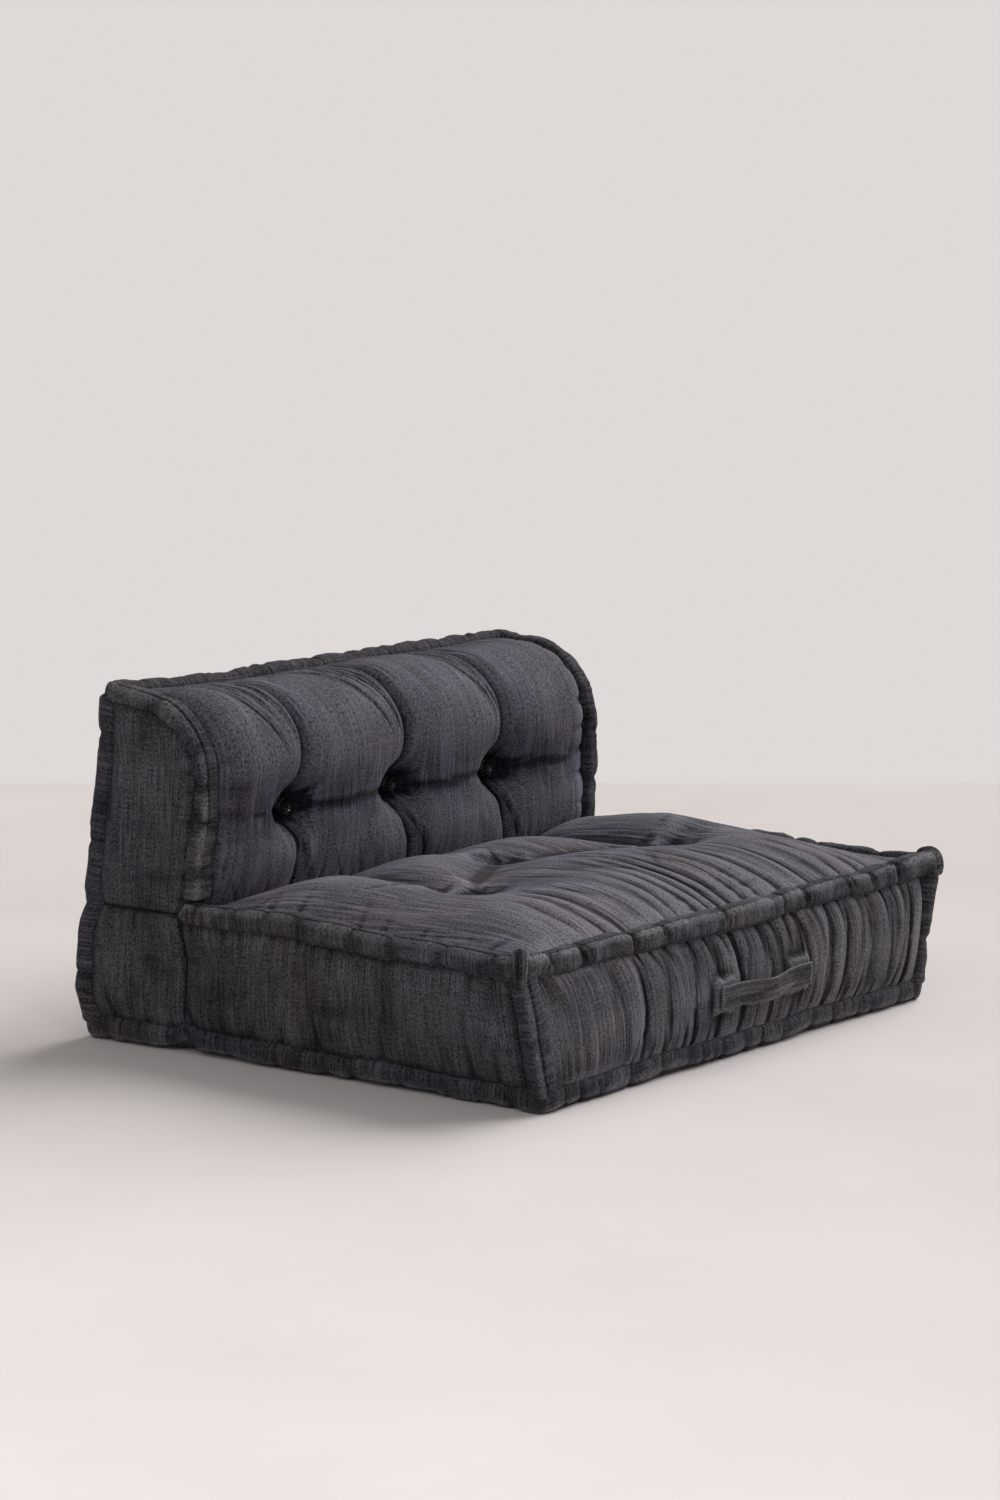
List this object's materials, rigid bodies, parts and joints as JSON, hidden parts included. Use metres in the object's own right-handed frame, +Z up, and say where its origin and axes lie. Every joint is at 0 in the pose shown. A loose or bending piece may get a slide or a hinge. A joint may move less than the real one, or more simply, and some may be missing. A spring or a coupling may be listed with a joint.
{
  "type": "floor sofa",
  "caption": "Low armless floor sofa unit with a crowned tufted seat, a buttoned padded back, rolled stitched edges and a cloth pull handle on its front.",
  "frame": {"origin": "middle of the base's footprint, without the handle, at the floor", "axes": "+X along the width towards the sitter's left hand, -Y out of the front, +Z up"},
  "size_m": [1, 0.8237, 0.49],
  "materials": {
    "cloth": "matte",
    "end_cloth": "matte",
    "rolled_edge": "matte",
    "strap_cloth": "matte",
    "foam": "matte",
    "button_resin": "gloss",
    "twine": "matte",
    "felt": "matte"
  },
  "bodies": {
    "root": {"seat_core": "foam", "back_core": "foam", "seat_top_pad": "cloth", "seat_front_pad": "cloth", "back_pad": "cloth", "rear_lower_panel": "end_cloth", "rear_upper_panel": "end_cloth", "base_panel": "end_cloth", "seat_side_left": "end_cloth", "seat_side_right": "end_cloth", "lower_rear_side_left": "end_cloth", "lower_rear_side_right": "end_cloth", "back_side_left": "end_cloth", "back_side_right": "end_cloth", "front_top_roll": "rolled_edge", "front_base_roll": "rolled_edge", "rear_base_roll": "rolled_edge", "rear_top_roll": "rolled_edge", "base_side_roll_left": "rolled_edge", "base_side_roll_right": "rolled_edge", "seat_side_roll_left": "rolled_edge", "seat_side_roll_right": "rolled_edge", "front_corner_roll_left": "rolled_edge", "front_corner_roll_right": "rolled_edge", "rear_lower_roll_left": "rolled_edge", "rear_lower_roll_right": "rolled_edge", "rear_upper_roll_left": "rolled_edge", "rear_upper_roll_right": "rolled_edge", "back_edge_roll_left": "rolled_edge", "back_edge_roll_right": "rolled_edge", "back_button_1": "button_resin", "back_button_2": "button_resin", "back_button_3": "button_resin", "back_anchor_1": "felt", "back_anchor_2": "felt", "back_anchor_3": "felt", "back_twine_1": "twine", "back_twine_2": "twine", "back_twine_3": "twine", "seat_anchor_1": "felt", "seat_anchor_2": "felt", "seat_anchor_3": "felt", "seat_tuft_1": "twine", "seat_tuft_2": "twine", "seat_tuft_3": "twine", "handle_strap": "strap_cloth", "handle_stitch_left": "twine", "handle_stitch_right": "twine"}
  },
  "joints": []
}
